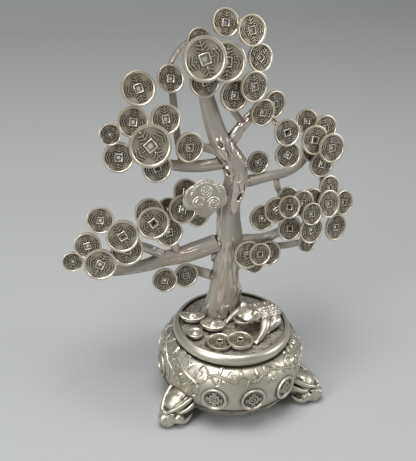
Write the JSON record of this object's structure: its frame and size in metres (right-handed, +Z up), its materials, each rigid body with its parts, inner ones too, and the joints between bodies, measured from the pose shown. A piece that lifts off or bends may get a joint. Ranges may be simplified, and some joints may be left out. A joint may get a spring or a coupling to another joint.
{
  "type": "coin tree ornament",
  "caption": "Cast-metal coin tree ornament: a gnarled trunk with clusters of square-holed coins, standing in a round tripod bowl with a toad and ingots.",
  "frame": {"origin": "middle of the whole ornament's outline on the ground plane the three soles stand on", "axes": "+Z up, +X to the viewer's right, -Y towards the viewer; the tree's coins face -Y"},
  "size_m": [0.1421, 0.0841, 0.1871],
  "materials": {
    "bowl_metal": "antiqued silver plating, dark in the recesses, worn bright on high spots",
    "cast_metal": "antiqued silver plating, satin",
    "tree_metal": "antiqued silver plating with dark bark grooves",
    "coin_metal": "antiqued silver plating, worn bright on rims",
    "steel": "plain zinc-plated"
  },
  "bodies": {
    "root": {"bowl_body": "bowl_metal", "top_plate": "cast_metal", "base_plate": "steel", "tie_rod": "steel", "rod_washer": "steel", "rod_nut": "steel", "foot_left": "bowl_metal", "foot_right": "bowl_metal", "foot_back": "bowl_metal", "medallions": "cast_metal", "trunk": "tree_metal", "left_branch": "tree_metal", "left_riser_twig": "tree_metal", "left_high_twig": "tree_metal", "under_left_twig": "tree_metal", "upper_left_branch": "tree_metal", "upper_left_riser_twig": "tree_metal", "inner_left_twig": "tree_metal", "crown_branch": "tree_metal", "crown_twig": "tree_metal", "crown_link_twig": "tree_metal", "right_branch": "tree_metal", "right_drop_twig": "tree_metal", "low_right_branch": "tree_metal", "low_right_twig": "tree_metal", "right_high_twig": "tree_metal", "right_link_twig": "tree_metal", "front_low_twig": "tree_metal", "plaque_twig": "tree_metal", "cloud_plaque": "coin_metal", "crown_coins": "coin_metal", "upper_left_coins": "coin_metal", "lower_left_coins": "coin_metal", "under_left_coins": "coin_metal", "right_upper_coins": "coin_metal", "right_lower_coins": "coin_metal", "front_low_coins": "coin_metal", "trunk_coin": "coin_metal", "toad": "cast_metal", "boat_ingots": "cast_metal", "round_ingot": "cast_metal", "plate_coins": "coin_metal"}
  },
  "joints": []
}
